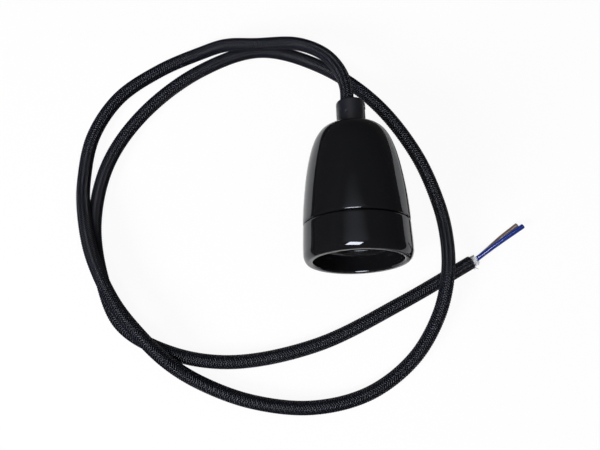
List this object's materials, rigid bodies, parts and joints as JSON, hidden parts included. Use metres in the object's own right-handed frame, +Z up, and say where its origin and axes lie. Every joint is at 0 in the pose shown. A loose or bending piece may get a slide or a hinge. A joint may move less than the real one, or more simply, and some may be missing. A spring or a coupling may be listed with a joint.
{
  "type": "pendant cord set",
  "caption": "Glazed two-shell lamp holder for a screw-cap lamp, lying on its side, with a cord grip and a long round braided cord in loose turns that ends stripped for wiring.",
  "frame": {"origin": "on the surface the set lies on, below the middle of the holder with its cord grip", "axes": "+Z up from the surface; +Y along the lying holder, from its lamp mouth towards its cord grip; +X to the right seen from above with the grip away from the viewer; the holder's own axis dips 3.5 degrees below +Y"},
  "size_m": [0.2078, 0.1774, 0.0477],
  "materials": {
    "glaze": "high-gloss black glaze",
    "steatite": "unglazed off-white fired ceramic",
    "nickel": "bright rolled sheet with a thin plated skin",
    "bronze": "bare spring metal",
    "brass": "bare machined metal",
    "zinc": "zinc-plated steel",
    "plastic": "fine matte moulded black",
    "braid": "matte braided textile over rubber",
    "sheath": "matte white",
    "blue": "smooth satin blue",
    "brown": "smooth satin brown",
    "copper": "bare copper-coloured strand"
  },
  "bodies": {
    "root": {"dome_cap": "glaze", "skirt_ring": "glaze", "socket_insert": "steatite", "screw_shell": "nickel", "centre_contact": "bronze", "live_terminal": "brass", "neutral_terminal": "brass", "live_terminal_screw": "zinc", "neutral_terminal_screw": "zinc", "live_rivet": "brass", "neutral_rivet": "brass", "cord_grip_body": "plastic", "cord_grip_screw": "plastic", "grip_washer": "zinc", "grip_nut": "zinc", "inner_sheath_root": "sheath", "live_core_root": "brown", "neutral_core_root": "blue", "live_wire_root": "copper", "neutral_wire_root": "copper", "braided_cord": "braid", "inner_sheath_end": "sheath", "blue_core_tail": "blue", "brown_core_tail": "brown", "blue_wire_tip": "copper", "brown_wire_tip": "copper"}
  },
  "joints": []
}
